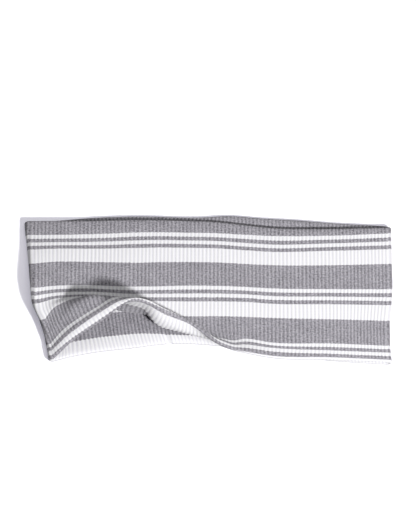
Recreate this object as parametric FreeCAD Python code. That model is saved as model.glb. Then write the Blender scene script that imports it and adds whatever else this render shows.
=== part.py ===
"""Wide sports headband: a striped rib-knit tube, folded double and sewn into a loop, laid flat with one
lower corner of its front half pushed up into a standing fold.

Frame: X along the band, Y across it towards the top edge, Z up. Millimetres. The origin is at the middle
of the footprint, on the surface that the band lies on.
"""
import FreeCAD, Part
import math
import os

# Driving dimensions
LENGTH = 240.0        # fabric in the front half, from end fold to end fold, before it is pushed up
PLY = 1.3             # one layer of rib knit
PLY_GAP = 0.4         # room between the two layers, where the seams lie
BACK_Z = 1.5          # middle of the back half's double layer, above the surface
FRONT_Z = 5.0         # middle of the front half's double layer where it lies flat
OUTER = PLY_GAP / 2 + PLY
RIGHT_END_X = 117.0   # where the front half turns down into the right end fold
CENTRE_X = 0.25
CENTRE_Y = -0.55

# The knit's repeat across the band: two pairs of narrow stripes, a wide white one and a wide grey one
NARROW = 2.83
WIDE_WHITE = 11.2
WIDE_GREY = 17.3
NARROWS = 4 * NARROW
REPEAT = NARROWS + WIDE_WHITE + WIDE_GREY

# Seams
THREAD = 0.24         # thickness of a flattened row of thread
SEAM_INSET = 1.8      # the closing seam's distance from the top edge
ALLOWANCE = 7.0       # width of the turned-in ends at the cross seam
CROSS_SEAM_X = -26.5

# Ribs of the front half at which its shape is set, by fabric distance from the left end
STATIONS = (0, 22, 45, 56, 67, 76, 86, 106, 128, 136, 144, 160, 200, LENGTH)

# The front half's middle surface: one line of (x, y, z) points for each stripe edge that shapes it, from the
# free lower edge to the top edge. The lower left corner stands in a fold with its peak at the fifth point.
LOWER_EDGE = ((-99.8, -50.9, 5.0), (-86.3, -40.5, 14.0), (-66.2, -30.7, 25.5), (-56.0, -25.3, 32.0),
              (-46.4, -23.3, 34.8), (-37.9, -23.3, 30.6), (-29.0, -24.0, 21.0), (-11.5, -29.5, 12.2),
              (9.0, -43.0, 8.6), (16.3, -45.5, 7.3), (24.0, -47.3, 7.0), (40.0, -49.9, 5.5),
              (80.0, -51.3, FRONT_Z), (RIGHT_END_X - 1.2, -53.0, FRONT_Z))
NARROW_MIDDLE = ((-100.2, -46.7, 5.6), (-88.0, -38.1, 14.6), (-68.0, -28.2, 26.4), (-57.5, -24.3, 31.8),
                 (-46.8, -22.9, 33.8), (-38.1, -23.3, 29.7), (-29.1, -24.4, 20.2), (-11.6, -30.2, 11.3),
                 (9.0, -41.7, 8.4), (16.3, -43.6, 7.0), (24.0, -43.0, 6.0), (40.0, -44.5, FRONT_Z),
                 (80.0, -46.5, FRONT_Z), (RIGHT_END_X - 1.9, -48.0, FRONT_Z))
GREY_START = ((-101.0, -42.0, 5.6), (-90.4, -33.3, 13.3), (-70.4, -24.4, 24.4), (-60.0, -20.1, 28.5),
              (-49.0, -21.6, 28.3), (-39.4, -22.8, 24.5), (-30.6, -27.0, 15.0), (-12.2, -33.6, 7.2),
              (9.3, -39.1, 6.3), (16.5, -40.0, 5.6), (24.0, -38.4, FRONT_Z), (40.0, -40.8, FRONT_Z),
              (80.0, -41.6, FRONT_Z), (RIGHT_END_X - 2.2, -43.2, FRONT_Z))
GREY_MIDDLE = ((-102.6, -34.3, 7.3), (-94.0, -25.7, 13.8), (-73.3, -16.5, 24.0), (-61.8, -16.9, 21.0),
               (-51.5, -19.7, 20.0), (-41.0, -21.3, 16.2), (-33.2, -27.2, 8.0), (-13.4, -30.0, 5.4),
               (8.3, -31.3, FRONT_Z), (16.3, -31.2, FRONT_Z), (24.0, -30.5, FRONT_Z),
               (40.0, -32.1, FRONT_Z), (80.0, -33.0, FRONT_Z), (RIGHT_END_X - 2.2, -34.3, FRONT_Z))
WHITE_START = ((-105.4, -26.2, 9.7), (-96.3, -18.2, 13.6), (-74.8, -14.9, 16.5), (-63.3, -17.8, 12.6),
               (-53.0, -20.2, 11.5), (-42.2, -20.0, 8.2), (-34.0, -20.6, 6.0), (-14.0, -22.2, 5.1),
               (8.0, -22.2, FRONT_Z), (16.0, -22.4, FRONT_Z), (24.0, -22.7, FRONT_Z),
               (40.0, -23.4, FRONT_Z), (80.0, -24.4, FRONT_Z), (RIGHT_END_X - 2.1, -25.5, FRONT_Z))
NARROW_START = ((-110.1, -15.8, 11.2), (-97.0, -12.6, 11.0), (-75.0, -11.2, 10.0), (-64.0, -11.8, 9.0),
                (-53.0, -12.8, 8.5), (-43.2, -12.4, 7.2), (-34.0, -11.9, 6.0), (-14.0, -11.7, FRONT_Z),
                (8.0, -11.7, FRONT_Z), (16.0, -11.8, FRONT_Z), (24.0, -12.0, FRONT_Z),
                (40.0, -13.3, FRONT_Z), (80.0, -13.7, FRONT_Z), (RIGHT_END_X - 0.9, -14.4, FRONT_Z))
NARROW_END = ((-111.6, -5.3, 12.2), (-97.5, -2.7, 9.5), (-75.0, -1.4, 7.2), (-64.0, -1.7, 6.8),
              (-53.0, -1.9, 6.4), (-43.5, -1.6, 5.9), (-34.0, -1.3, 5.5), (-14.0, -0.5, FRONT_Z),
              (8.0, -0.7, FRONT_Z), (16.0, -1.0, FRONT_Z), (24.0, -1.4, FRONT_Z), (40.0, -2.4, FRONT_Z),
              (80.0, -3.0, FRONT_Z), (RIGHT_END_X, -3.1, FRONT_Z))
UPPER_WHITE = ((-113.0, 12.8, 10.2), (-97.7, 15.3, 8.0), (-75.0, 15.8, 6.5), (-64.0, 15.7, 6.2),
               (-53.0, 15.6, 6.0), (-43.5, 15.7, 5.6), (-34.0, 16.2, 5.3), (-14.0, 16.5, FRONT_Z),
               (8.0, 16.1, FRONT_Z), (16.0, 15.7, FRONT_Z), (24.0, 15.1, FRONT_Z),
               (40.0, 14.3, FRONT_Z), (80.0, 14.2, FRONT_Z), (RIGHT_END_X, 15.1, FRONT_Z))
UPPER_GREY = ((-115.6, 35.1, 6.3), (-98.0, 35.5, 5.8), (-75.0, 36.4, 5.2), (-64.0, 36.9, FRONT_Z),
              (-53.0, 37.5, FRONT_Z), (-43.5, 37.8, FRONT_Z), (-34.0, 37.9, FRONT_Z),
              (-14.0, 37.6, FRONT_Z), (8.0, 37.1, FRONT_Z), (16.0, 36.6, FRONT_Z),
              (24.0, 36.1, FRONT_Z), (40.0, 35.3, FRONT_Z), (80.0, 35.4, FRONT_Z),
              (RIGHT_END_X, 37.0, FRONT_Z))
TOP_EDGE = ((-117.2, 46.8, FRONT_Z), (-98.0, 46.9, FRONT_Z), (-75.0, 47.1, FRONT_Z),
            (-64.0, 47.4, FRONT_Z), (-53.0, 47.6, FRONT_Z), (-43.5, 47.6, FRONT_Z), (-34.0, 47.5, FRONT_Z),
            (-14.0, 46.9, FRONT_Z), (8.0, 45.9, FRONT_Z), (16.0, 45.0, FRONT_Z), (24.0, 44.0, FRONT_Z),
            (40.0, 42.2, FRONT_Z), (80.0, 41.1, FRONT_Z), (RIGHT_END_X, 42.0, FRONT_Z))
LINES = (LOWER_EDGE, NARROW_MIDDLE, GREY_START, GREY_MIDDLE, WHITE_START, NARROW_START, NARROW_END,
         UPPER_WHITE, UPPER_GREY, TOP_EDGE)

# Fabric distance of each line from the front half's lower stripe edge. The lower edge is rolled under the
# standing fold, and the top edge runs a little out of line with the stripes.
LOWER_ROLL = (1.5, 3.0, 3.0, 3.8, 4.6, 4.9, 5.0, 4.0, 2.4, 1.7, 1.1, 0.5, 0.0, 0.0)
TOP_GREY = (10.2, 10.0, 9.0, 8.9, 8.9, 8.9, 8.9, 8.5, 7.9, 7.2, 6.6, 5.2, 5.4, 4.4)
STRIPE_EDGES = (2 * NARROW, NARROWS, NARROWS + WIDE_GREY / 2, NARROWS + WIDE_GREY, REPEAT, REPEAT + NARROWS,
                REPEAT + NARROWS + WIDE_GREY, 2 * REPEAT + NARROWS)

# The back half's edges, (x, y), between the end folds
BACK_LOWER = ((-91.0, -48.3), (-74.0, -44.7), (-51.0, -41.8), (-24.0, -38.5), (5.0, -39.8), (40.0, -45.5),
              (80.0, -50.5))
BACK_UPPER = ((-97.0, 48.7), (-70.0, 50.9), (-46.0, 51.6), (-3.0, 50.8), (12.0, 51.8), (37.0, 50.0),
              (60.0, 48.6), (85.0, 46.4), (110.0, 44.2))

# Rows of points that each surface is passed through
ALONG = 34
ACROSS = 22
ROUND_FOLD = 7


def curve(knots, values, x):
    """A smooth curve through values at knots, by cubic Hermite pieces."""
    last = len(knots) - 1
    i = max(j for j in range(last) if j == 0 or knots[j] <= x)
    step = knots[i + 1] - knots[i]
    slope = [(values[j + 1] - values[j]) / (knots[j + 1] - knots[j]) for j in range(last)]

    def tangent(j):
        if j == 0 or j == last:
            return slope[min(j, last - 1)]
        before, after = knots[j] - knots[j - 1], knots[j + 1] - knots[j]
        return (slope[j - 1] * after + slope[j] * before) / (before + after)

    t = (x - knots[i]) / step
    rise = (1 - t) * step * tangent(i) * t * (1 - t) - t * step * tangent(i + 1) * t * (1 - t)
    blend = t * t * (3 - 2 * t)
    return values[i] * (1 - blend) + values[i + 1] * blend + rise


def front(s, across):
    """The front half's middle surface at fabric distance s, from its lower edge (across 0) to its top (1)."""
    low = curve(STATIONS, LOWER_ROLL, s)
    high = 2 * REPEAT + NARROWS + curve(STATIONS, TOP_GREY, s)
    knots = (low,) + STRIPE_EDGES + (high,)
    point = []
    for axis in range(3):
        values = [curve(STATIONS, [p[axis] for p in line], s) for line in LINES]
        point.append(curve(knots, values, low + across * (high - low)))
    return FreeCAD.Vector(*point)


def back(x, across):
    """The back half's middle surface at x, from its lower edge (across 0) to its top edge (1)."""
    ends = []
    for inner, side in ((BACK_LOWER, 0), (BACK_UPPER, 1)):
        left, right = front(0, side), front(LENGTH, side)
        outline = ((left.x, left.y),) + inner + ((right.x, right.y),)
        ends.append(curve([p[0] for p in outline], [p[1] for p in outline], max(x, left.x)))
    return FreeCAD.Vector(x, ends[0] + across * (ends[1] - ends[0]), BACK_Z)


def end_fold(s, turn, across):
    """The middle surface of the end fold at s 0 or LENGTH: turn 0 is the front half and 1 the back half."""
    top = front(s, across)
    bottom = back(top.x, across)
    radius = (top.z - bottom.z) / 2
    side = -1 if s == 0 else 1
    angle = math.pi * turn
    middle = top + (bottom - top) * turn
    return FreeCAD.Vector(top.x + side * radius * math.sin(angle), middle.y,
                          bottom.z + radius * (1 + math.cos(angle)))


def offset(surface, u, v, distance, du, dv):
    """A point of surface moved along its normal, which faces away from the loop's inside."""
    u0, u1 = max(0.0, u - du), min(1.0, u + du)
    v0, v1 = max(0.0, v - dv), min(1.0, v + dv)
    normal = (surface(u1, v) - surface(u0, v)).cross(surface(u, v1) - surface(u, v0))
    normal.normalize()
    return surface(u, v) + normal * distance


def slab(surface, low, high, u_range=(0, 1), v_range=(0, 1), counts=(ALONG, ACROSS)):
    """A closed layer of surface between two distances from it."""
    def grid(distance):
        rows = []
        for i in range(counts[0]):
            u = u_range[0] + (u_range[1] - u_range[0]) * i / (counts[0] - 1)
            rows.append([offset(surface, u, v_range[0] + (v_range[1] - v_range[0]) * j / (counts[1] - 1),
                                distance, 0.004, 0.01) for j in range(counts[1])])
        return rows

    sheets = []
    borders = []
    for distance in (low, high):
        points = grid(distance)
        skin = Part.BSplineSurface()
        skin.interpolate(points)
        sheets.append(skin.toShape())
        u_low, u_high, v_low, v_high = skin.bounds()
        borders.append([skin.uIso(u_low).toShape(), skin.uIso(u_high).toShape(),
                        skin.vIso(v_low).toShape(), skin.vIso(v_high).toShape()])
    sides = [Part.makeRuledSurface(one, other) for one, other in zip(borders[0], borders[1])]
    shell = Part.makeShell(sheets + sides)
    shell.sewShape()
    solid = Part.makeSolid(shell)
    if solid.Volume < 0:
        solid.reverse()
    return solid


def front_surface(u, v):
    return front(LENGTH * u, v)


def back_surface(u, v):
    left = front(0, v).x
    right = front(LENGTH, v).x
    return back(right + u * (left - right), v)


def back_layer(bottom):
    """One layer of the flat back half, with its underside at height bottom."""
    corners = ((0, 0), (1, 0), (1, 1), (0, 1), (0, 0))
    borders = []
    for (u, v), (u_end, v_end) in zip(corners, corners[1:]):
        points = []
        for i in range(ALONG):
            t = i / (ALONG - 1)
            point = back_surface(u + (u_end - u) * t, v + (v_end - v) * t)
            point.z = bottom
            points.append(point)
        border = Part.BSplineCurve()
        border.interpolate(points)
        borders.append(border.toShape())
    return Part.Face(Part.Wire(borders)).extrude(FreeCAD.Vector(0, 0, PLY))


def seam_surface(u, v):
    """The back half's middle surface beside the cross seam, over the width of both turned-in ends."""
    return back(CROSS_SEAM_X + (1 - 2 * u) * ALLOWANCE, v)


def left_fold_surface(u, v):
    return end_fold(0, 1 - u, v)


def right_fold_surface(u, v):
    return end_fold(LENGTH, u, v)


def plies():
    """The knit's two layers in each half of the loop, and its two end folds."""
    fold = (ROUND_FOLD, ACROSS)
    return {
        "front_outer_ply": slab(front_surface, PLY_GAP / 2, OUTER),
        "front_inner_ply": slab(front_surface, -OUTER, -PLY_GAP / 2),
        "back_outer_ply": back_layer(BACK_Z - OUTER),
        "back_inner_ply": back_layer(BACK_Z + PLY_GAP / 2),
        "left_end_fold": slab(left_fold_surface, -OUTER, OUTER, counts=fold),
        "right_end_fold": slab(right_fold_surface, -OUTER, OUTER, counts=fold),
    }


def seams():
    """The thread of the closing and cross seams, and the cross seam's turned-in ends, between the layers."""
    half = THREAD / 2
    width = 2 * REPEAT + NARROWS + TOP_GREY[0]
    top = 1 - SEAM_INSET / width
    closing_band = (top - 2 * NARROW / 3 / width, top)
    cross_band = (2 * SEAM_INSET / width, closing_band[0] - SEAM_INSET / width)
    closing = Part.makeCompound([slab(surface, -half, half, (0.01, 0.99), closing_band, (ALONG, 3))
                                 for surface in (front_surface, back_surface)])
    allowances = Part.makeCompound([slab(seam_surface, -half, half, reach, cross_band, (3, ACROSS))
                                    for reach in ((0, 0.45), (0.55, 1))])
    cross = slab(seam_surface, -half, half, (0.47, 0.53), cross_band, (3, ACROSS))
    return {"closing_seam_thread": closing, "cross_seam_allowances": allowances, "cross_seam_thread": cross}


def main():
    os.makedirs("parts", exist_ok=True)
    whole = FreeCAD.BoundBox()
    for name, shape in {**plies(), **seams()}.items():
        shape.translate(FreeCAD.Vector(-CENTRE_X, -CENTRE_Y, 0))
        shape.exportStep("parts/" + name + ".step")
        whole.add(shape.BoundBox)
        print(name, "valid", shape.isValid(), "volume", round(shape.Volume, 1), shape.BoundBox)
    print("whole", whole)


main()
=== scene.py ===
"""Looks of the striped rib-knit sports headband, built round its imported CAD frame.

The knit is one piece: a band doubled lengthwise and joined into a loop. The front half's middle surface
follows the same lines as the CAD part, in millimetres. The back half differs from the CAD part in two
places: its left end is lifted off the floor with a tighter fold, and its upper right corner shows a little
further past the front half. The ribs are real relief on both sides and round both edges.
"""

import math

import bpy
import numpy as np
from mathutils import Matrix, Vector


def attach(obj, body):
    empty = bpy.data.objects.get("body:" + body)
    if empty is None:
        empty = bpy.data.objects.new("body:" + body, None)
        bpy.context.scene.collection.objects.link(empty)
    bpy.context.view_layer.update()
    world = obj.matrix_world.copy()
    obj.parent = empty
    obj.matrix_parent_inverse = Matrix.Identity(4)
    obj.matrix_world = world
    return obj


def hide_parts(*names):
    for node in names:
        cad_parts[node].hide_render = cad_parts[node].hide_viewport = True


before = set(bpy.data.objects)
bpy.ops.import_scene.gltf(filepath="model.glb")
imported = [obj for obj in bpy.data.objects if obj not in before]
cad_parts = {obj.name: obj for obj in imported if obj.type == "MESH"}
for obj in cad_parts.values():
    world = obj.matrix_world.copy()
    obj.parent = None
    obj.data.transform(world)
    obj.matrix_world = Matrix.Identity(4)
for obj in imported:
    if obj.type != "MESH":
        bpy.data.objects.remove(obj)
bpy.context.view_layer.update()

MM = 0.001

# Driving dimensions, as in the CAD part, in millimetres
LENGTH = 240.0
BACK_Z = 1.5              # height of the back half's middle surface
FRONT_Z = 5.0             # height of the front half's, where it lies flat
RIGHT_END_X = 117.0
CENTRE_X = 0.25           # the point that is moved onto the frame's origin
CENTRE_Y = -0.55
NARROW = 2.83             # width of a narrow stripe, grey or white
WIDE_WHITE = 11.2
WIDE_GREY = 17.3
NARROWS = 4 * NARROW
REPEAT = NARROWS + WIDE_WHITE + WIDE_GREY

# The knit's surface, in millimetres unless a comment says otherwise
RIBS = 194
RIB_PITCH = 2.5
LOOP = RIBS * RIB_PITCH
RIB_COLUMNS = 6           # columns of the mesh in one rib
RIB_ROUNDNESS = 0.75      # a power under 1, which makes the ribs broader than the valleys
HALF_THICKNESS = 1.16     # from the middle surface to the bottom of a rib's valley
RIB_HEIGHT = 0.34
ROLLED_RELIEF = 0.85      # share of the ribs' relief that is lost round the rolled edges
ROLLED_ROWS = 4           # rows above the lower edge over which the relief comes back
TURNED_OVER = 0.75        # shift of the stripes on the fold's right slope, so that its rim shows a white one
TURNED_START = 68.0       # rib distances where that shift starts to grow and starts to fade
TURNED_FADE = 108.0
TURNED_CHANGE = 14.0
TURNED_POWER = 8          # how fast it fades across the band
CAVITY = 0.2              # half of the gap between the two layers
CAVITY_END = 0.01         # where the gap ends at the lower edge, as a share of the width
CAVITY_STEP = 2           # the gap's faces use every second row
NORMAL_COLUMNS = 2        # columns to each side over which the surface's direction is measured
ROWS_LOWER = 26           # rows across a layer, below and above LOWER_SHARE of its width
ROWS_UPPER = 13
ROWS_EDGE = 6             # steps round a rolled edge
LOWER_SHARE = 0.55
TOP_SHARE = 0.986         # where the layers turn over the top edge
RIGHT_FOLD = 5.5          # length of the knit in each end's fold
LEFT_FOLD = 7.0
LEFT_RADIUS = 2.3         # of the left end's fold, which is lifted off the floor
LIFT_REACH = 34.0         # how far from the left end the back half is lifted
BACK_CORNER = 2.5         # how far the back half's upper right corner shows past the front half's
BACK_ROLL = (1.7, -2.0)   # the back half's lower stripe edge, left and right of the cross seam
CROSS_SEAM = 403.2        # where the knit's two ends are sewn together, as fabric distance
ROLL_LEAD = 10.0          # how far before the cross seam the back half's stripes start to shift
ROLL_SHIFT = 35.0         # distance over which they shift
ROLL_CHANGE = 12.0        # distance over which the ends' stripes become the back half's
SEAM_WIDTH = 1.4          # of the cross seam's groove
SEAM_DEPTH = 0.55         # of the closing seam
GROOVE_DEPTH = 0.85       # of the cross seam, near the lower edge
SEAM_REACH = 0.35         # share of the width over which the groove fades
SEAM_ROWS = 2             # rows of the inner layer between the top edge and the closing seam
GATHERED = 0.93           # share of its length that the back half's lower edge spans
TOP_GATHER = 0.01         # share of its length that the upper edge gives up
GATHER_SHARE = 0.3        # share of the width below which the gather is the same
BACK_LEAN = 6.0           # how far the back half's ribs lean at the lower edge
LEAN_SHARE = 0.5          # share of the width over which they straighten
LEAN_POWER = 1.5
LEAN_GROWTH = 90.0        # distance from the right end over which the lean grows

STATIONS = (0, 22, 45, 56, 67, 76, 86, 106, 128, 136, 144, 160, 200, LENGTH)
LOWER_EDGE = ((-99.8, -50.9, 5.0), (-86.3, -40.5, 14.0), (-66.2, -30.7, 25.5), (-56.0, -25.3, 32.0),
              (-46.4, -23.3, 34.8), (-37.9, -23.3, 30.6), (-29.0, -24.0, 21.0), (-11.5, -29.5, 12.2),
              (9.0, -43.0, 8.6), (16.3, -45.5, 7.3), (24.0, -47.3, 7.0), (40.0, -49.9, 5.5),
              (80.0, -51.3, FRONT_Z), (RIGHT_END_X - 1.2, -53.0, FRONT_Z))
NARROW_MIDDLE = ((-100.2, -46.7, 5.6), (-88.0, -38.1, 14.6), (-68.0, -28.2, 26.4), (-57.5, -24.3, 31.8),
                 (-46.8, -22.9, 33.8), (-38.1, -23.3, 29.7), (-29.1, -24.4, 20.2), (-11.6, -30.2, 11.3),
                 (9.0, -41.7, 8.4), (16.3, -43.6, 7.0), (24.0, -43.0, 6.0), (40.0, -44.5, FRONT_Z),
                 (80.0, -46.5, FRONT_Z), (RIGHT_END_X - 1.9, -48.0, FRONT_Z))
GREY_START = ((-101.0, -42.0, 5.6), (-90.4, -33.3, 13.3), (-70.4, -24.4, 24.4), (-60.0, -20.1, 28.5),
              (-49.0, -21.6, 28.3), (-39.4, -22.8, 24.5), (-30.6, -27.0, 15.0), (-12.2, -33.6, 7.2),
              (9.3, -39.1, 6.3), (16.5, -40.0, 5.6), (24.0, -38.4, FRONT_Z), (40.0, -40.8, FRONT_Z),
              (80.0, -41.6, FRONT_Z), (RIGHT_END_X - 2.2, -43.2, FRONT_Z))
GREY_MIDDLE = ((-102.6, -34.3, 7.3), (-94.0, -25.7, 13.8), (-73.3, -16.5, 24.0), (-61.8, -16.9, 21.0),
               (-51.5, -19.7, 20.0), (-41.0, -21.3, 16.2), (-33.2, -27.2, 8.0), (-13.4, -30.0, 5.4),
               (8.3, -31.3, FRONT_Z), (16.3, -31.2, FRONT_Z), (24.0, -30.5, FRONT_Z),
               (40.0, -32.1, FRONT_Z), (80.0, -33.0, FRONT_Z), (RIGHT_END_X - 2.2, -34.3, FRONT_Z))
WHITE_START = ((-105.4, -26.2, 9.7), (-96.3, -18.2, 13.6), (-74.8, -14.9, 16.5), (-63.3, -17.8, 12.6),
               (-53.0, -20.2, 11.5), (-42.2, -20.0, 8.2), (-34.0, -20.6, 6.0), (-14.0, -22.2, 5.1),
               (8.0, -22.2, FRONT_Z), (16.0, -22.4, FRONT_Z), (24.0, -22.7, FRONT_Z),
               (40.0, -23.4, FRONT_Z), (80.0, -24.4, FRONT_Z), (RIGHT_END_X - 2.1, -25.5, FRONT_Z))
NARROW_START = ((-110.1, -15.8, 11.2), (-97.0, -12.6, 11.0), (-75.0, -11.2, 10.0), (-64.0, -11.8, 9.0),
                (-53.0, -12.8, 8.5), (-43.2, -12.4, 7.2), (-34.0, -11.9, 6.0), (-14.0, -11.7, FRONT_Z),
                (8.0, -11.7, FRONT_Z), (16.0, -11.8, FRONT_Z), (24.0, -12.0, FRONT_Z),
                (40.0, -13.3, FRONT_Z), (80.0, -13.7, FRONT_Z), (RIGHT_END_X - 0.9, -14.4, FRONT_Z))
NARROW_END = ((-111.6, -5.3, 12.2), (-97.5, -2.7, 9.5), (-75.0, -1.4, 7.2), (-64.0, -1.7, 6.8),
              (-53.0, -1.9, 6.4), (-43.5, -1.6, 5.9), (-34.0, -1.3, 5.5), (-14.0, -0.5, FRONT_Z),
              (8.0, -0.7, FRONT_Z), (16.0, -1.0, FRONT_Z), (24.0, -1.4, FRONT_Z), (40.0, -2.4, FRONT_Z),
              (80.0, -3.0, FRONT_Z), (RIGHT_END_X, -3.1, FRONT_Z))
UPPER_WHITE = ((-113.0, 12.8, 10.2), (-97.7, 15.3, 8.0), (-75.0, 15.8, 6.5), (-64.0, 15.7, 6.2),
               (-53.0, 15.6, 6.0), (-43.5, 15.7, 5.6), (-34.0, 16.2, 5.3), (-14.0, 16.5, FRONT_Z),
               (8.0, 16.1, FRONT_Z), (16.0, 15.7, FRONT_Z), (24.0, 15.1, FRONT_Z),
               (40.0, 14.3, FRONT_Z), (80.0, 14.2, FRONT_Z), (RIGHT_END_X, 15.1, FRONT_Z))
UPPER_GREY = ((-115.6, 35.1, 6.3), (-98.0, 35.5, 5.8), (-75.0, 36.4, 5.2), (-64.0, 36.9, FRONT_Z),
              (-53.0, 37.5, FRONT_Z), (-43.5, 37.8, FRONT_Z), (-34.0, 37.9, FRONT_Z),
              (-14.0, 37.6, FRONT_Z), (8.0, 37.1, FRONT_Z), (16.0, 36.6, FRONT_Z),
              (24.0, 36.1, FRONT_Z), (40.0, 35.3, FRONT_Z), (80.0, 35.4, FRONT_Z),
              (RIGHT_END_X, 37.0, FRONT_Z))
TOP_EDGE = ((-117.2, 46.8, FRONT_Z), (-98.0, 46.9, FRONT_Z), (-75.0, 47.1, FRONT_Z),
            (-64.0, 47.4, FRONT_Z), (-53.0, 47.6, FRONT_Z), (-43.5, 47.6, FRONT_Z), (-34.0, 47.5, FRONT_Z),
            (-14.0, 46.9, FRONT_Z), (8.0, 45.9, FRONT_Z), (16.0, 45.0, FRONT_Z), (24.0, 44.0, FRONT_Z),
            (40.0, 42.2, FRONT_Z), (80.0, 41.1, FRONT_Z), (RIGHT_END_X, 42.0, FRONT_Z))
LINES = (LOWER_EDGE, NARROW_MIDDLE, GREY_START, GREY_MIDDLE, WHITE_START, NARROW_START, NARROW_END,
         UPPER_WHITE, UPPER_GREY, TOP_EDGE)
LOWER_ROLL = (1.5, 3.0, 3.0, 3.8, 4.6, 4.9, 5.0, 4.0, 2.4, 1.7, 1.1, 0.5, 0.0, 0.0)
TOP_GREY = (10.2, 10.0, 9.0, 8.9, 8.9, 8.9, 8.9, 8.5, 7.9, 7.2, 6.6, 5.2, 5.4, 4.4)
STRIPE_EDGES = (2 * NARROW, NARROWS, NARROWS + WIDE_GREY / 2, NARROWS + WIDE_GREY, REPEAT, REPEAT + NARROWS,
                REPEAT + NARROWS + WIDE_GREY, 2 * REPEAT + NARROWS)
BACK_LOWER = ((-91.0, -48.3), (-74.0, -44.7), (-51.0, -41.8), (-24.0, -38.5), (5.0, -39.8), (40.0, -45.5),
              (80.0, -50.5))
BACK_UPPER = ((-97.0, 48.7), (-70.0, 50.9), (-46.0, 51.6), (-3.0, 50.8), (12.0, 51.8), (37.0, 50.0),
              (60.0, 48.6), (85.0, 46.4), (110.0, 45.0))


def pick(array, index):
    """The entries of array at index, column by column where it has columns."""
    if array.ndim > 1:
        return np.take_along_axis(array, index[None], 0)[0]
    return array[index]


def hermite(knots, values, x):
    """A smooth curve through values at knots, by cubic Hermite pieces. All may be arrays of columns."""
    knots = np.broadcast_to(knots, np.shape(values)).astype(float)
    values = np.asarray(values, float)
    last = len(knots) - 1
    slope = (values[1:] - values[:-1]) / (knots[1:] - knots[:-1])
    before = knots[1:-1] - knots[:-2]
    after = knots[2:] - knots[1:-1]
    inner = (slope[:-1] * after + slope[1:] * before) / (before + after)
    tangent = np.concatenate([slope[:1], inner, slope[-1:]])
    i = np.clip((knots <= x).sum(0) - 1, 0, last - 1)
    low, high = pick(knots, i), pick(knots, i + 1)
    step = high - low
    t = (x - low) / step
    rise = t * (1 - t) * step * ((1 - t) * pick(tangent, i) - t * pick(tangent, i + 1))
    blend = t * t * (3 - 2 * t)
    return pick(values, i) * (1 - blend) + pick(values, i + 1) * blend + rise


def smooth(x):
    """A smooth step from 0 at x = 0 to 1 at x = 1."""
    x = np.clip(x, 0, 1)
    return x * x * (3 - 2 * x)


def along(values, s):
    """Values at the stations, read at fabric distances s."""
    shape = np.shape(s)
    flat = np.ravel(s)
    knots = np.array(STATIONS, float)[:, None]
    column = np.array(values, float)[:, None]
    full = np.broadcast_to(column, (len(values), flat.size))
    return hermite(np.broadcast_to(knots, full.shape), full, flat).reshape(shape)


def front(s, across):
    """Points of the front half's middle surface.

    s runs from 0 to LENGTH, and across from 0 at the lower edge to 1 at the top.
    """
    shape = np.broadcast(s, across).shape
    s, across = np.broadcast_to(s, shape).ravel(), np.broadcast_to(across, shape).ravel()
    low = along(LOWER_ROLL, s)
    high = 2 * REPEAT + NARROWS + along(TOP_GREY, s)
    fixed = [np.full(s.shape, edge) for edge in STRIPE_EDGES]
    knots = np.array([low] + fixed + [high])
    place = low + across * (high - low)
    axes = [hermite(knots, np.array([along([p[axis] for p in line], s) for line in LINES]), place)
            for axis in range(3)]
    return np.stack(axes, -1).reshape(shape + (3,))


def outline(points, side, x):
    """The back half's lower or upper edge (side 0 or 1), at x."""
    left, right = front(np.array([0.0, LENGTH]), np.array([side, side], float))
    full = ((left[0], left[1]),) + points + ((right[0], right[1] + side * BACK_CORNER),)
    knots = np.array([p[0] for p in full])
    values = np.array([p[1] for p in full])
    flat = np.maximum(np.ravel(x), knots[0])
    spread = (len(knots), flat.size)
    return hermite(np.broadcast_to(knots[:, None], spread), np.broadcast_to(values[:, None], spread),
                   flat).reshape(np.shape(x))


def back(x, across):
    """Points of the back half's middle surface."""
    low, high = outline(BACK_LOWER, 0, x), outline(BACK_UPPER, 1, x)
    left = front(np.zeros(np.shape(x)), across)
    lift = np.maximum(left[..., 2] - 2 * LEFT_RADIUS - BACK_Z, 0)
    near = 1 - smooth((x - left[..., 0]) / LIFT_REACH)
    return np.stack([x, low + across * (high - low), BACK_Z + lift * near], -1)


def left_fold_line(across):
    """Where ribs meet the left end's fold, as fabric distance, and the width of the front's first stretch.

    The raised corner narrows that stretch, and the ribs keep their spacing, so the fold cuts across them.
    """
    start = front(np.zeros(np.shape(across)), across)
    end = front(np.full(np.shape(across), float(STATIONS[1])), across)
    width = np.linalg.norm(end - start, axis=-1)
    return STATIONS[1] - width, width


def front_distance(r, across):
    """Distance along the front half, 0 to LENGTH, and round the loop, of points at rib distance r."""
    fold, width = left_fold_line(across)
    r = np.where(r < fold, r + LOOP, r)
    first = (r - fold) * STATIONS[1] / width
    s = np.where(r < STATIONS[1], first, r)
    nearest_end = np.where(r > LENGTH + (LOOP - LENGTH) / 2, 0, LENGTH)
    return np.where(r > LENGTH, nearest_end, s), r


def back_place(r, start, end, left, right, across):
    """X on the back half at rib distance r.

    Its lower edge is gathered, and the ribs there lean with the edge.
    """
    evened = smooth((across - GATHER_SHARE) / (1 - GATHER_SHARE))
    gather = GATHERED + (1 - GATHERED - TOP_GATHER) * evened
    plain = right - gather * (r - start)
    miss = left - right + gather * (end - start)
    near_end = 1 - smooth((end - r) / (LIFT_REACH / 2))
    lean = BACK_LEAN * np.power(np.clip(1 - across / LEAN_SHARE, 0, 1), LEAN_POWER)
    inside = smooth((r - start) / LEAN_GROWTH) * smooth((end - r) / LIFT_REACH)
    return np.clip(plain + miss * near_end + lean * inside, left, right)


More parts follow.
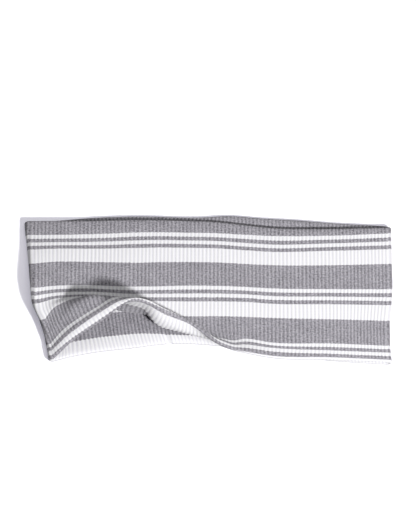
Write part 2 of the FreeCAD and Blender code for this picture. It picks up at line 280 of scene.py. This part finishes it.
def loop_surface(r, across):
    """Points of the whole loop's middle surface. r is the fabric distance round the loop, in mm."""
    s, r = front_distance(r, across)
    points = front(s, across)

    right = front(np.full(np.shape(across), LENGTH), across)
    turn = np.clip((r - LENGTH) / RIGHT_FOLD, 0, 1)
    points = np.where((r > LENGTH)[..., None], end_fold(right, turn, across, 1), points)

    left = front(np.zeros(np.shape(across)), across)
    back_start = LENGTH + RIGHT_FOLD
    back_end = LOOP + left_fold_line(across)[0] - LEFT_FOLD
    on_back = np.clip(r, back_start, back_end)
    x = back_place(on_back, back_start, back_end, left[..., 0], right[..., 0], across)
    points = np.where((r > back_start)[..., None], back(x, across), points)

    turn = 1 - np.clip((r - back_end) / LEFT_FOLD, 0, 1)
    return np.where((r > back_end)[..., None], end_fold(left, turn, across, -1), points)


def end_fold(top, turn, across, side):
    """The middle surface where the loop turns over: turn 0 is the front half and 1 the back half."""
    bottom = back(top[..., 0], across)
    radius = (top[..., 2] - bottom[..., 2]) / 2
    angle = math.pi * turn
    y = top[..., 1] + (bottom[..., 1] - top[..., 1]) * turn
    z = bottom[..., 2] + radius * (1 + np.cos(angle))
    return np.stack([top[..., 0] + side * radius * np.sin(angle), y, z], -1)


def unit(vectors):
    """The vectors at length 1. A vector of no length stays as it is."""
    return vectors / np.maximum(np.linalg.norm(vectors, axis=-1, keepdims=True), 1e-9)


def loop_frames(r, across):
    """Points, outward normals and upward-running directions of the middle surface, on a grid."""
    grid_a, grid_r = np.meshgrid(across, r, indexing="ij")
    points = loop_surface(grid_r, grid_a)
    around = np.roll(points, -NORMAL_COLUMNS, 1) - np.roll(points, NORMAL_COLUMNS, 1)
    upward = np.gradient(points, across, axis=0)
    return points, unit(np.cross(around, upward)), unit(upward)


def rib_profile(r):
    """The relief of the ribs, from 0 in a valley to 1 on a rib."""
    return np.power(0.5 + 0.5 * np.cos(2 * math.pi * r / RIB_PITCH), RIB_ROUNDNESS)


def mesh_from_grid(points, low, high):
    """Faces of a grid that closes on itself both ways.

    low and high are the fabric places of each row's lower and upper corners.
    """
    rows, columns = points.shape[:2]
    index = np.arange(rows * columns).reshape(rows, columns)
    right, below = np.roll(index, -1, 1), np.roll(index, -1, 0)
    corner = np.roll(below, -1, 1)
    faces = np.stack([index, right, corner, below], -1).reshape(-1, 4)
    uv = np.stack([low[:, :-1], low[:, 1:], high[:, 1:], high[:, :-1]], 2)
    return points.reshape(-1, 3), faces, uv.reshape(-1, 4, 2)


def add_mesh(name, parts):
    """A smooth mesh object from (points in mm, faces, uv) parts."""
    verts, faces, uvs, count = [], [], [], 0
    for points, quads, uv in parts:
        verts.append(points)
        faces.append(quads + count)
        uvs.append(uv)
        count += len(points)
    verts, faces, uvs = np.concatenate(verts), np.concatenate(faces), np.concatenate(uvs)
    verts = (verts - np.array([CENTRE_X, CENTRE_Y, 0])) * MM
    mesh = bpy.data.meshes.new(name)
    mesh.vertices.add(len(verts))
    mesh.vertices.foreach_set("co", verts.astype(np.float32).ravel())
    mesh.loops.add(faces.size)
    mesh.loops.foreach_set("vertex_index", faces.astype(np.int32).ravel())
    mesh.polygons.add(len(faces))
    mesh.polygons.foreach_set("loop_start", np.arange(0, faces.size, 4, dtype=np.int32))
    mesh.polygons.foreach_set("loop_total", np.full(len(faces), 4, np.int32))
    layer = mesh.uv_layers.new(name="knit")
    layer.data.foreach_set("uv", (uvs * MM).astype(np.float32).ravel())
    mesh.update(calc_edges=True)
    mesh.shade_smooth()
    piece = bpy.data.objects.new(name, mesh)
    bpy.context.scene.collection.objects.link(piece)
    return piece


def levels():
    """The rows across one layer, closer together where the knit stands up."""
    return np.concatenate([np.linspace(0, LOWER_SHARE, ROWS_LOWER, endpoint=False),
                           np.linspace(LOWER_SHARE, TOP_SHARE, ROWS_UPPER)])


def section_rows():
    """The rows of the doubled band's section, as (level, turn round an edge, which edge).

    They run up the outer face, over the top edge, down the inner face and round the lower edge.
    """
    count = ROWS_LOWER + ROWS_UPPER
    edge = np.linspace(0, math.pi, ROWS_EDGE + 1)[1:-1]
    rows = [(i, 0.0, 0) for i in range(count)]
    rows += [(count - 1, angle, 1) for angle in edge]
    rows += [(i, math.pi, 0) for i in reversed(range(count))]
    rows += [(0, math.pi - angle, -1) for angle in edge]
    return rows


def stripe_edges(r, across):
    """The stripe coordinate at the lower and upper edges of the outer face, all round the loop."""
    s, r = front_distance(r, across)
    back_end = LOOP + left_fold_line(across)[0] - LEFT_FOLD
    on_back = smooth((r - LENGTH) / ROLL_CHANGE) * (1 - smooth((r - back_end) / ROLL_CHANGE + 1))
    past_seam = smooth((r - CROSS_SEAM + ROLL_LEAD) / ROLL_SHIFT)
    back_roll = BACK_ROLL[1] + (BACK_ROLL[0] - BACK_ROLL[1]) * past_seam
    low = along(LOWER_ROLL, s) * (1 - on_back) + back_roll * on_back
    share = np.clip((r - LENGTH) / (LOOP - LENGTH), 0, 1)
    top = along(TOP_GREY, np.where(r > LENGTH, LENGTH * (1 - share), s))
    return low, 2 * REPEAT + NARROWS + top


def outer_stripes(r, across):
    """The stripe coordinate on the outer face, shifted on the fold's right slope."""
    low, high = stripe_edges(*np.meshgrid(r, across))
    grown = smooth((r - TURNED_START) / TURNED_CHANGE)
    faded = smooth((r - TURNED_FADE) / TURNED_CHANGE)
    turned = TURNED_OVER * grown * (1 - faded)
    return low + across[:, None] * (high - low) + turned * (1 - across[:, None]) ** TURNED_POWER


def rib_height(relief, level, angle):
    """The height of one row of the skin above the ribs' valleys, evened out near the rolled edges."""
    evened = ROLLED_RELIEF * max(math.sin(angle), 1 - level / ROLLED_ROWS)
    return RIB_HEIGHT * (relief * (1 - evened) + evened * 0.5)


def knit_skin():
    """The visible skin of the doubled knit, with its ribs, its cross seam and its closing seam."""
    columns = RIBS * RIB_COLUMNS
    r = np.arange(columns) * RIB_PITCH / RIB_COLUMNS
    across = levels()
    points, normals, upwards = loop_frames(r, across)
    outer = outer_stripes(r, across)
    wrap = HALF_THICKNESS + RIB_HEIGHT / 2
    under = 2 * outer[0] - outer - wrap * math.pi
    over = 2 * outer[-1] - outer + wrap * math.pi
    groove = GROOVE_DEPTH * np.exp(-np.square((r - CROSS_SEAM) / SEAM_WIDTH))
    lower = 1 - smooth(across / SEAM_REACH)
    relief = rib_profile(r)[:, None]
    closing = len(across) - 1 - SEAM_ROWS
    skin, first, last = [], [], []
    for level, angle, edge in section_rows():
        reach = normals[level] * math.cos(angle) + upwards[level] * edge * math.sin(angle)
        sewn = SEAM_DEPTH if angle == math.pi and level == closing else 0
        height = rib_height(relief, level, angle)
        distance = HALF_THICKNESS + height - groove[:, None] * lower[level] - sewn
        skin.append(points[level] + distance * reach)
        if edge:
            stripe = (outer[level] + edge * wrap * angle,) * 2
        elif angle:
            stripe = (over[level] if level > closing else under[level],
                      over[level] if level >= closing else under[level])
        else:
            stripe = (outer[level],) * 2
        first.append(stripe[0])
        last.append(stripe[1])
    around = np.append(r, LOOP)
    place = [np.stack([np.broadcast_to(around, (len(skin), columns + 1)),
                       np.concatenate([rows, np.array(rows)[:, :1]], 1)], -1) for rows in (first, last)]
    return mesh_from_grid(np.array(skin), place[0], np.roll(place[1], -1, 0))


def cavity_skin():
    """The hidden faces of the two layers, round the gap between them."""
    r = np.arange(RIBS) * RIB_PITCH
    across = np.clip(levels(), CAVITY_END, TOP_SHARE)[::CAVITY_STEP]
    points, normals, _ = loop_frames(r, across)
    skin = np.concatenate([points - normals * CAVITY, (points + normals * CAVITY)[::-1]])
    blank = np.zeros((len(skin), RIBS + 1, 2))
    return mesh_from_grid(skin, blank, blank)


class Nodes:
    """Short calls for building a material's nodes."""

    def __init__(self, name):
        self.material = bpy.data.materials.new(name)
        self.material.use_nodes = True
        self.tree = self.material.node_tree
        self.shader = self.tree.nodes["Principled BSDF"]

    def add(self, kind, **settings):
        node = self.tree.nodes.new(kind)
        for key, value in settings.items():
            setattr(node, key, value)
        return node

    def put(self, value, socket):
        if hasattr(value, "is_output"):
            self.tree.links.new(value, socket)
        else:
            socket.default_value = value

    def math(self, operation, a, b=0.0, c=0.0):
        node = self.add("ShaderNodeMath", operation=operation)
        for value, socket in zip((a, b, c), node.inputs):
            self.put(value, socket)
        return node.outputs[0]

    def mix(self, factor, a, b):
        # Inputs 6 and 7 and output 2 are the node's colour ones
        node = self.add("ShaderNodeMix", data_type="RGBA")
        self.put(factor, node.inputs[0])
        self.put(a, node.inputs[6])
        self.put(b, node.inputs[7])
        return node.outputs[2]

    def noise(self, vector, scale, detail, roughness=0.5):
        node = self.add("ShaderNodeTexNoise")
        self.put(vector, node.inputs["Vector"])
        self.put(scale, node.inputs["Scale"])
        self.put(detail, node.inputs["Detail"])
        self.put(roughness, node.inputs["Roughness"])
        return node.outputs["Fac"]

    def combine(self, x, y, z=0.0):
        node = self.add("ShaderNodeCombineXYZ")
        for value, socket in zip((x, y, z), node.inputs):
            self.put(value, socket)
        return node.outputs[0]


# Dark and light ends of each yarn's tone. Each dark end takes in both the fibres' own darker tone and
# painted shade for the ribs' valleys
GREY_DARK = (0.075, 0.07, 0.083, 1)
GREY_LIGHT = (0.46, 0.445, 0.485, 1)
WHITE_DARK = (0.625, 0.615, 0.66, 1)
WHITE_LIGHT = (0.745, 0.74, 0.75, 1)
COURSE = 1.15             # height of a row of stitches, in millimetres
COURSE_ARCH = 0.4         # rise of a row of stitches over a rib, as a share of a row
HEATHER = 3.8             # contrast of the grey's mixed fibres
HEATHER_SHARE = 0.68      # share of the grey's tone from its fibres. The rest is painted shade, darker in the ribs' valleys
CLOUD = 0.5               # strength of the grey's broad, soft changes of tone
WHITE_FIBRES = 0.5        # contrast of the white's fibres
WHITE_POWER = 0.6         # a power under 1, which keeps the white's painted shade to the ribs' valleys
SCALLOP = 0.35            # how far a stripe's edge follows the ribs, in millimetres
WANDER = 0.7              # how far it wanders, in millimetres
WANDER_SCALE = 0.9
WANDER_STRETCH = 0.3      # scale of the wander across the band, as a share of that along it
# Noise patterns: scale along the band, scale across it, and offset
SPECKS = (1.25, 0.95, 0.0)
DASHES = (0.55, 1.5, 7.0)
CLOUDS = (0.11, 0.16, 3.0)
SPECK_SHARE = 0.6         # share of the specks in the fibres' tone. The rest is the dashes'
STITCH_RELIEF = 0.35
FUZZ_RELIEF = 0.9
FUZZ_SCALE = 4.0
KNIT_BUMP = (0.55, 0.00012)     # strength, and distance in metres
THREAD_BUMP = (0.4, 0.0001)
TWIST_SCALE = 1500.0
THREAD_DARK = (0.2, 0.19, 0.21, 1)
THREAD_LIGHT = (0.45, 0.44, 0.47, 1)


def stripe_mask(n, r, v, rib):
    """1 in a white stripe and 0 in a grey one. r and v are millimetres along and across the band."""
    wander = n.noise(n.combine(r, n.math("MULTIPLY", v, WANDER_STRETCH)), WANDER_SCALE, 2.0)
    scalloped = n.math("MULTIPLY_ADD", n.math("SUBTRACT", rib, 0.5), SCALLOP, v)
    shifted = n.math("ADD", scalloped, n.math("MULTIPLY", n.math("SUBTRACT", wander, 0.5), WANDER))
    positive = n.math("ADD", shifted, 10 * REPEAT)
    turn = n.math("FRACT", n.math("DIVIDE", positive, REPEAT))
    ramp = n.add("ShaderNodeValToRGB")
    ramp.color_ramp.interpolation = "CONSTANT"
    edges = (0, NARROW, 2 * NARROW, 3 * NARROW, NARROWS, NARROWS + WIDE_GREY)
    for i, edge in enumerate(edges):
        stop = ramp.color_ramp.elements[i] if i < 2 else ramp.color_ramp.elements.new(edge / REPEAT)
        stop.position = edge / REPEAT
        stop.color = (1, 1, 1, 1) if i % 2 else (0, 0, 0, 1)
    n.put(turn, ramp.inputs[0])
    return ramp.outputs[0]


def fabric_noise(n, r, v, pattern, detail, roughness):
    """Noise stretched along and across the band."""
    along_scale, across_scale, offset = pattern
    place = n.combine(n.math("MULTIPLY", r, along_scale), n.math("MULTIPLY", v, across_scale), offset)
    return n.noise(place, 1.0, detail, roughness)


def knit_colour(n, r, v, rib):
    """The knit's colour: mixed grey fibres or off-white yarn, with painted shade in the ribs' valleys."""
    white = stripe_mask(n, r, v, rib)
    specks = fabric_noise(n, r, v, SPECKS, 3.0, 0.6)
    dashes = fabric_noise(n, r, v, DASHES, 2.0, 0.6)
    cloud = fabric_noise(n, r, v, CLOUDS, 2.0, 0.5)
    fibres = n.math("ADD", n.math("MULTIPLY", specks, SPECK_SHARE),
                    n.math("MULTIPLY", dashes, 1 - SPECK_SHARE))
    centred = n.math("SUBTRACT", fibres, 0.5)
    heather = n.math("MULTIPLY_ADD", centred, HEATHER, 0.5)
    heather = n.math("MULTIPLY_ADD", n.math("SUBTRACT", cloud, 0.5), CLOUD, heather)
    # Painted shade: the rib profile darkens both yarns' tones towards the ribs' valleys
    grey_tone_and_painted_shade = n.math("ADD", n.math("MULTIPLY", heather, HEATHER_SHARE),
                        n.math("MULTIPLY", rib, 1 - HEATHER_SHARE))
    white_tone_and_painted_shade = n.math("MULTIPLY_ADD", centred, WHITE_FIBRES, n.math("POWER", rib, WHITE_POWER))
    grey = n.mix(grey_tone_and_painted_shade, GREY_DARK, GREY_LIGHT)
    pale = n.mix(white_tone_and_painted_shade, WHITE_DARK, WHITE_LIGHT)
    return n.mix(white, grey, pale)


def add_bump(n, height, strength, distance):
    """Fine relief on the material's shader."""
    bump = n.add("ShaderNodeBump")
    n.put(strength, bump.inputs["Strength"])
    n.put(distance, bump.inputs["Distance"])
    n.put(height, bump.inputs["Height"])
    n.put(bump.outputs[0], n.shader.inputs["Normal"])


def knit_material():
    """Heather grey and white rib knit: stripes across the band, ribs, stitches and loose fibres."""
    n = Nodes("rib_knit_look")
    split = n.add("ShaderNodeSeparateXYZ")
    n.put(n.add("ShaderNodeUVMap", uv_map="knit").outputs[0], split.inputs[0])
    r = n.math("MULTIPLY", split.outputs[0], 1 / MM)
    v = n.math("MULTIPLY", split.outputs[1], 1 / MM)
    phase = n.math("MULTIPLY", r, 2 * math.pi / RIB_PITCH)
    rib = n.math("MULTIPLY_ADD", n.math("COSINE", phase), 0.5, 0.5)
    n.put(knit_colour(n, r, v, rib), n.shader.inputs["Base Color"])

    arch = n.math("ABSOLUTE", n.math("SINE", phase))
    course = n.math("MULTIPLY_ADD", arch, COURSE_ARCH, n.math("DIVIDE", v, COURSE))
    stitch = n.math("SINE", n.math("MULTIPLY", course, 2 * math.pi))
    fuzz = n.noise(n.combine(r, v), FUZZ_SCALE, 3.0, 0.7)
    height = n.math("ADD", n.math("MULTIPLY", stitch, STITCH_RELIEF), n.math("MULTIPLY", fuzz, FUZZ_RELIEF))
    add_bump(n, height, *KNIT_BUMP)
    n.put(n.math("MULTIPLY_ADD", fuzz, 0.15, 0.8), n.shader.inputs["Roughness"])
    n.shader.inputs["Sheen Weight"].default_value = 0.15
    n.shader.inputs["Sheen Roughness"].default_value = 0.6
    n.shader.inputs["Specular IOR Level"].default_value = 0.2
    return n.material


def thread_material():
    """Grey twisted sewing thread."""
    n = Nodes("thread_look")
    place = n.add("ShaderNodeTexCoord").outputs["Object"]
    twist = n.noise(place, TWIST_SCALE, 2.0)
    n.put(n.mix(twist, THREAD_DARK, THREAD_LIGHT), n.shader.inputs["Base Color"])
    add_bump(n, twist, *THREAD_BUMP)
    n.shader.inputs["Roughness"].default_value = 0.7
    return n.material


FLOOR_GLOW = (0.235, 0.225, 0.28, 1)   # a light table's glow, which fills the band's shadow
FLOOR_DARK = (0.93, 0.93, 0.935, 1)
FLOOR_LIGHT = (0.95, 0.95, 0.955, 1)
FLOOR_SIZE = 3.0          # half of the floor's width, in metres
FLOOR_MOTTLE = 3.0        # scale of its slight changes of tone


def floor_material():
    """A pale, matt floor with a faint glow of its own."""
    n = Nodes("floor_look")
    place = n.add("ShaderNodeTexCoord").outputs["Object"]
    n.put(n.mix(n.noise(place, FLOOR_MOTTLE, 2.0), FLOOR_DARK, FLOOR_LIGHT), n.shader.inputs["Base Color"])
    n.shader.inputs["Roughness"].default_value = 0.9
    n.shader.inputs["Emission Color"].default_value = FLOOR_GLOW
    n.shader.inputs["Emission Strength"].default_value = 1.0
    return n.material


def make_band():
    """The whole knit as one piece, in place of the CAD part's six zones of it."""
    piece = add_mesh("knit_band", [knit_skin(), cavity_skin()])
    piece.data.materials.append(knit_material())
    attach(piece, "root")
    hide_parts("front_outer_ply", "front_inner_ply", "back_outer_ply", "back_inner_ply",
                "left_end_fold", "right_end_fold")


def dress_seams():
    """Materials for the seams' own nodes, which keep their CAD shapes."""
    thread = thread_material()
    knit = knit_material()
    for name, material in (("closing_seam_thread", thread), ("cross_seam_thread", thread),
                           ("cross_seam_allowances", knit)):
        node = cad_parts[name]
        node.data.materials.clear()
        node.data.materials.append(material)


def make_floor():
    """The floor, which doesn't light the band by diffuse bounce."""
    corners = [(x * FLOOR_SIZE, y * FLOOR_SIZE, 0) for x, y in ((-1, -1), (1, -1), (1, 1), (-1, 1))]
    mesh = bpy.data.meshes.new("floor")
    mesh.from_pydata(corners, [], [(0, 1, 2, 3)])
    floor = bpy.data.objects.new("floor", mesh)
    bpy.context.scene.collection.objects.link(floor)
    mesh.materials.append(floor_material())
    floor.visible_diffuse = False


VIEW_TILT = 65.0          # camera's height above the horizon, in degrees
VIEW_DISTANCE = 2.5       # in metres, as the next two are
VIEW_WIDTH = 0.2721       # width of the scene across the frame, at the object
VIEW_CENTRE = (-0.0001, 0.02145, 0.0)
ASPECT = 5 / 4            # the frame's height over its width
SENSOR = 36.0             # in millimetres


def make_camera():
    """A distant camera in front of the band, looking down on it."""
    data = bpy.data.cameras.new("camera")
    camera = bpy.data.objects.new("camera", data)
    bpy.context.scene.collection.objects.link(camera)
    tilt = math.radians(VIEW_TILT)
    camera.location = Vector(VIEW_CENTRE) + VIEW_DISTANCE * Vector((0, -math.cos(tilt), math.sin(tilt)))
    camera.rotation_euler = (math.pi / 2 - tilt, 0, 0)
    data.sensor_width = SENSOR
    data.lens = SENSOR * VIEW_DISTANCE / (VIEW_WIDTH * ASPECT)
    data.clip_end = 20.0
    bpy.context.scene.camera = camera


WORLD_STRENGTH = 0.04
# Lamps: direction from the band, distance and size in metres, power in watts
KEY = ((0.454, -0.612, 0.648), 1.6, 0.16, 36.0)
OVERHEAD = ((0.05, 0.25, 0.97), 1.5, 1.0, 6.5)
LEFT_FILL = ((-0.9, 0.05, 0.42), 1.5, 1.0, 5.0)


def make_lamp(name, direction, distance, size, power):
    """A square area lamp that faces the band."""
    data = bpy.data.lights.new(name, "AREA")
    data.size = size
    data.energy = power
    lamp = bpy.data.objects.new(name, data)
    lamp.location = Vector(direction) * distance
    lamp.rotation_euler = Vector(direction).to_track_quat("Z", "Y").to_euler()
    bpy.context.scene.collection.objects.link(lamp)


def make_lights():
    """A key lamp, two fill lamps and a dim, even surround."""
    make_lamp("key", *KEY)
    make_lamp("overhead", *OVERHEAD)
    make_lamp("left_fill", *LEFT_FILL)
    world = bpy.data.worlds.new("studio")
    world.use_nodes = True
    background = world.node_tree.nodes["Background"]
    background.inputs["Color"].default_value = (1, 1, 1, 1)
    background.inputs["Strength"].default_value = WORLD_STRENGTH
    bpy.context.scene.world = world
    bpy.context.scene.view_settings.view_transform = "Standard"


make_camera()
make_band()
dress_seams()
make_floor()
make_lights()
